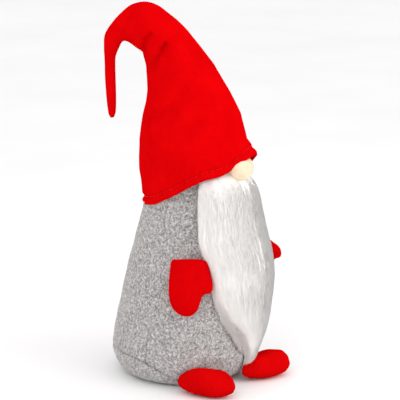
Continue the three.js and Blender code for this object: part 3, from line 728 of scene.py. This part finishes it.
def hairs(name, tracks, facing, thick, material):
    """Closed three-sided hairs round their middle lines, pointed at both ends. They take the
    light as one soft mass, because their normals are those of the fur's face."""
    along = np.gradient(tracks, axis=1)
    along /= np.linalg.norm(along, axis=-1, keepdims=True)
    side = np.cross(along, [0.0, 1.0, 0.05])
    side /= np.linalg.norm(side, axis=-1, keepdims=True)
    other = np.cross(along, side)
    t = np.linspace(0, 1, tracks.shape[1])
    swell = thick / 2 * np.clip(np.sin(np.pi * np.clip(t * 0.85 + 0.12, 0, 1)), 0, 1) ** 0.6
    a = np.array([0, 2, 4]) * np.pi / 3
    ring = (np.cos(a)[:, None] * side[:, :, None, :] + np.sin(a)[:, None] * other[:, :, None, :])
    body = tracks[:, 1:-1, None, :] + ring[:, 1:-1] * swell[None, 1:-1, None, None]
    count, rings = body.shape[:2]
    points = np.concatenate([tracks[:, :1], body.reshape(count, -1, 3), tracks[:, -1:]], axis=1)
    per = points.shape[1]
    index = 1 + np.arange(rings * 3).reshape(rings, 3)
    beside = np.roll(index, -1, axis=1)
    quads = ring_quads(index)
    tips = np.concatenate([np.stack([beside[0], index[0], np.zeros(3, int)], -1),
                           np.stack([index[-1], beside[-1], np.full(3, per - 1)], -1)])
    if signed_volume(points[0], quads) < 0:
        quads, tips = quads[:, ::-1], tips[:, ::-1]
    start = (np.arange(count) * per)[:, None, None]
    faces = (start + quads).reshape(-1, 4).tolist() + (start + tips).reshape(-1, 3).tolist()
    piece = make_mesh(name, points.reshape(-1, 3), faces, material)
    normals = np.concatenate([facing[:, :1], np.repeat(facing[:, 1:-1], 3, axis=1),
                              facing[:, -1:]], axis=1)
    piece.data.normals_split_custom_set_from_vertices(normals.reshape(-1, 3).tolist())
    return piece


rng = np.random.default_rng(5)
beard_pieces = [beard_pile()]
for name, count, low, high, spread, length, follow in (
        ("beard_hair_upper", 7500, 0.170, BEARD_TOP, 0.8, 52 * MM, 0.95),
        ("beard_hair_lower", 7500, 0.060, 0.185, 0.8, 46 * MM, 0.9),
        ("beard_hair_fringe", 1500, 0.075, 0.150, 0.12, 34 * MM, 0.45)):
    tracks, facing = hair_tracks(rng, count, low, high, spread, length, follow)
    beard_pieces.append(hairs(name, tracks, facing, HAIR_THICK, STRAND_LOOK))
for piece in beard_pieces:
    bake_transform(piece)
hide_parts("beard_root_fur", "beard_root_backing", "beard_fur", "beard_backing")

# ------------------------------------------------------------------ mittens and feet
# Outline of a mitten from the middle of its cuff: across towards the thumb, and up.
MITTEN = np.array([
    [0, 1], [-14, 0.6], [-21, -1], [-23.8, -17], [-25, -34], [-24.4, -50], [-19.8, -63.4],
    [-9.2, -72.4], [3, -73.4], [11.5, -67], [15.9, -56], [18.2, -48.4], [23, -44.8],
    [29.4, -43.4], [32.4, -37], [31.6, -28], [28.6, -15.9], [25.6, -5.3], [21, -0.5], [12, 0.9],
]) * MM
# Outline of a foot from its heel: across, and along towards the toe.
FOOT = np.array([
    [0, 0], [5, 3.5], [10.5, 11], [15, 22], [18, 36], [18.5, 50], [15.5, 63], [9.5, 72],
    [0, 76], [-9.5, 72], [-15.5, 63], [-18.5, 50], [-18, 36], [-15, 22], [-10.5, 11], [-5, 3.5],
]) * MM
MITTEN_FRONT, MITTEN_BACK = 9.2 * MM, 8.6 * MM  # how far the stuffing swells each side
FOOT_HEIGHT = 22.5 * MM
FOOT_STRETCH, FOOT_BACK = 1.035, 2.7 * MM  # longer than its outline, and moved back past the heel


def closed_curve(corners, per_gap):
    """Closed Catmull-Rom curve through corners."""
    ring = np.vstack([corners[-1:], corners, corners[:2]])
    return through(ring, per_gap)[per_gap:-per_gap - 1]


def pillow(outline, middle, up, down, seed, flat=False):
    """Sewn and stuffed pillow in its own plane. Rings shrink from the seam towards a middle point;
    height is a rounded dome of the distance in from the seam, drawn in and puckered at the seam.
    Returns the closed grid from the top's middle over the seam to the bottom's middle."""
    scale = np.sin(np.linspace(0.03, np.pi / 2, 26))[:, None]
    ring = middle + (outline[None] - middle) * scale[..., None]
    run = np.linspace(0, 2 * np.pi, len(outline), endpoint=False)[None, :]
    dome = (1 - scale ** 2.6) ** 0.62
    pucker = (np.sin(23 * run + seed) + np.sin(37 * run)) * bell(1 - scale, 0.12) * (1 - scale)
    height = dome + 0 * run + 0.9 * pucker

    def face(size, side, seed_shift):
        level = size * height
        points = np.concatenate([ring, (side * level)[..., None]], -1)
        soft = 1 + 0.05 * lumps(points, 0.028, seed + seed_shift)
        points[..., 2] *= soft
        return points

    top, bottom = face(up, 1, 0), face(down, -1, 1)
    if flat:
        bottom[..., 2] = np.maximum(bottom[..., 2], -down)
    return np.concatenate([top, bottom[::-1][1:]])


def mitten(name, seed, turn, shift, pinch):
    """Mitten hung from its cuff: the joint's point is the cuff's middle, its axis runs across.
    In its own plane it is turned by some degrees, thumb upwards, and shifted, and the front of
    its cuff is pinched in by a share of its width."""
    hook = joint_point(f"mitten_{name}_lift")
    across = -joint_axis(f"mitten_{name}_lift")
    low, high = node_box(f"mitten_{name}_fill")
    down = (low + high) / 2 - hook
    down -= across * (down @ across)
    down /= np.linalg.norm(down)
    out = np.cross(across, -down)
    thumb = across * (1 if across[1] < 0 else -1)
    tilt = math.radians(turn)
    spin = np.array([[math.cos(tilt), math.sin(tilt)], [-math.sin(tilt), math.cos(tilt)]])
    outline = closed_curve(MITTEN, 8)
    outline[:, 0] -= pinch * np.maximum(outline[:, 0], 0) * smooth(outline[:, 1], -32 * MM, -6 * MM)
    outline = outline @ spin + np.array(shift) * MM
    grid = pillow(outline, outline.mean(axis=0), MITTEN_FRONT, MITTEN_BACK, 40 + seed)
    return skin(f"mitten_{name}", hook + grid[..., :1] * thumb - grid[..., 1:2] * down
                + grid[..., 2:] * out * (1 if out[2] > 0 else -1), MITTEN_LOOK)


def foot(name, seed):
    """Foot sewn on at its heel: the joint's point is the heel's tip, at the level of the seam."""
    heel = joint_point(f"foot_{name}_turn")
    low, high = node_box(f"foot_{name}_fill")
    toe = ((low + high) / 2 - heel) * [1, 1, 0]
    toe /= np.linalg.norm(toe)
    side = np.cross(toe, [0, 0, 1.0])
    outline = closed_curve(FOOT, 8) * [1, FOOT_STRETCH] - [0, FOOT_BACK]
    middle = np.array([0, 42]) * MM
    grid = pillow(outline, middle, FOOT_HEIGHT, heel[2] - 0.2 * MM, 50 + seed, True)
    return skin(f"foot_{name}", heel + grid[..., :1] * side + grid[..., 1:2] * toe
                + grid[..., 2:] * [0, 0, 1.0], FOOT_LOOK)


for name, seed, turn, shift, pinch in (("right", 0, 0, (-1.6, 0.9), 0.0),
                                       ("left", 3, 12, (-9, 4), 0.45)):
    hand = mitten(name, seed, turn, shift, pinch)
    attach(hand, f"mitten_{name}")
    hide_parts(*(f"mitten_{name}_{part}" for part in ("front", "back", "fill")))
    shoe = foot(name, seed)
    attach(shoe, f"foot_{name}")
    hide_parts(*(f"foot_{name}_{part}" for part in ("upper", "sole", "fill")))

# ------------------------------------------------------------------ fills that stay inside
for name, look in (("body_fill", WADDING_LOOK), ("pellet_bag", PELLET_LOOK)):
    frame["nodes"][name].data.materials.clear()
    frame["nodes"][name].data.materials.append(look)

# ------------------------------------------------------------------ floor, light and camera


def floor_sheet():
    """Wide pale floor under the figure."""
    material, tree, shader, place = new_material("matt white paper", 0.9, 0.0)
    cloud = speckle(tree, place, 0.4, 2.0)
    tree.links.new(shades(tree, cloud, [(0.3, "#F6F6F6"), (0.7, "#FAFAFA")]),
                   shader.inputs["Base Color"])
    size = 6.0
    corners = np.array([[-size, -size, 0], [size, -size, 0], [size, size, 0], [-size, size, 0]])
    return make_mesh("floor", corners - [0, 0, 0.3 * MM], [[0, 1, 2, 3]], material)


floor_sheet()


def way_out(azimuth, elevation):
    """Unit vector away from the figure, the azimuth counted from its front."""
    a, e = math.radians(azimuth), math.radians(elevation)
    return np.array([math.sin(a) * math.cos(e), -math.cos(a) * math.cos(e), math.sin(e)])


def aim(thing, place, target):
    """Puts a camera or lamp at a place, looking at a target."""
    thing.location = place
    thing.rotation_euler = Vector(target - place).to_track_quat("-Z", "Y").to_euler()


FIGURE_MIDDLE = np.array([0, 0, 0.22])


def soft_light(name, azimuth, elevation, distance, size, power):
    """Square soft box aimed at the figure's middle."""
    lamp = bpy.data.lights.new(name, "AREA")
    lamp.size = size
    lamp.energy = power
    light = bpy.data.objects.new(name, lamp)
    aim(light, FIGURE_MIDDLE + way_out(azimuth, elevation) * distance, FIGURE_MIDDLE)
    bpy.context.scene.collection.objects.link(light)


soft_light("key", -80, 40, 1.8, 1.0, 4.5)
soft_light("fill", 5, 25, 1.8, 1.4, 8.5)
soft_light("top", -40, 80, 1.6, 1.2, 1)

world = bpy.data.worlds.new("studio")
world.use_nodes = True
world.node_tree.nodes["Background"].inputs["Color"].default_value = rgb("#FFFFFF")
world.node_tree.nodes["Background"].inputs["Strength"].default_value = 1.0
bpy.context.scene.world = world
bpy.context.scene.view_settings.view_transform = "Standard"

VIEW_AZIMUTH, VIEW_ELEVATION, VIEW_DISTANCE = -58, 13.5, 2.2
VIEW_LENS = 147.5
TARGET_HEIGHT, TARGET_ASIDE = 0.236, 0.022  # where the camera aims: above the floor, to its right
camera = bpy.data.objects.new("camera", bpy.data.cameras.new("camera"))
camera.data.lens = VIEW_LENS
azimuth = math.radians(VIEW_AZIMUTH)
right = np.array([math.cos(azimuth), math.sin(azimuth), 0])
target = np.array([0, 0, TARGET_HEIGHT]) + TARGET_ASIDE * right
aim(camera, target + VIEW_DISTANCE * way_out(VIEW_AZIMUTH, VIEW_ELEVATION), target)
bpy.context.scene.collection.objects.link(camera)
bpy.context.scene.camera = camera
